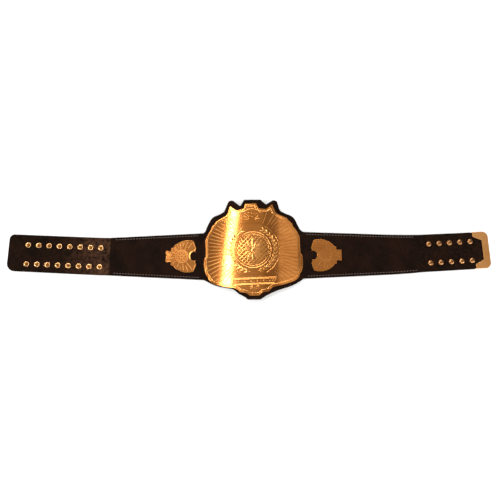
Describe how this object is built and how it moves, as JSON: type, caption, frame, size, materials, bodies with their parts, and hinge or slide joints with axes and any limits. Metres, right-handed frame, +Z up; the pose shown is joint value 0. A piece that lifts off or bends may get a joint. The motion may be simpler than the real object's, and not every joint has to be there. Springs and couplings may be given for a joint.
{
  "type": "championship title belt",
  "caption": "Long black leather belt with a large curved gold plate on a shaped lobe, gold side plates, rows of snap fasteners and a metal tip; it lies face up.",
  "frame": {"origin": "on the surface that the belt lies on, under the middle of its bounding box", "axes": "+X along the belt towards the metal tip, +Y towards the top of the main plate, +Z up out of the front of the plates"},
  "size_m": [1.2758, 0.2634, 0.027],
  "materials": {
    "strap_leather": "dyed full-grain, satin",
    "panel_leather": "dyed full-grain, satin",
    "plate_gold": "gilded, brushed along the belt and engraved",
    "side_plate_gold": "gilded, brushed and engraved",
    "tip_gold": "gilded, satin",
    "snap_brass": "polished, slightly worn",
    "screw_steel": "plain"
  },
  "bodies": {
    "root": {"strap_base": "strap_leather", "front_panel": "panel_leather", "main_plate": "plate_gold", "side_plate_left": "side_plate_gold", "side_plate_right": "side_plate_gold", "strap_tip": "tip_gold", "stud_upper_1": "snap_brass", "stud_upper_2": "snap_brass", "stud_upper_3": "snap_brass", "stud_upper_4": "snap_brass", "stud_upper_5": "snap_brass", "stud_upper_6": "snap_brass", "stud_upper_7": "snap_brass", "stud_upper_8": "snap_brass", "cap_upper_1": "snap_brass", "cap_upper_2": "snap_brass", "cap_upper_3": "snap_brass", "cap_upper_4": "snap_brass", "cap_upper_5": "snap_brass", "stud_lower_1": "snap_brass", "stud_lower_2": "snap_brass", "stud_lower_3": "snap_brass", "stud_lower_4": "snap_brass", "stud_lower_5": "snap_brass", "stud_lower_6": "snap_brass", "stud_lower_7": "snap_brass", "stud_lower_8": "snap_brass", "cap_lower_1": "snap_brass", "cap_lower_2": "snap_brass", "cap_lower_3": "snap_brass", "cap_lower_4": "snap_brass", "cap_lower_5": "snap_brass", "plate_screw_1": "screw_steel", "plate_screw_2": "screw_steel", "plate_screw_3": "screw_steel", "plate_screw_4": "screw_steel", "plate_screw_5": "screw_steel", "plate_screw_6": "screw_steel", "side_screw_left_1": "screw_steel", "side_screw_left_2": "screw_steel", "side_screw_right_1": "screw_steel", "side_screw_right_2": "screw_steel"}
  },
  "joints": []
}
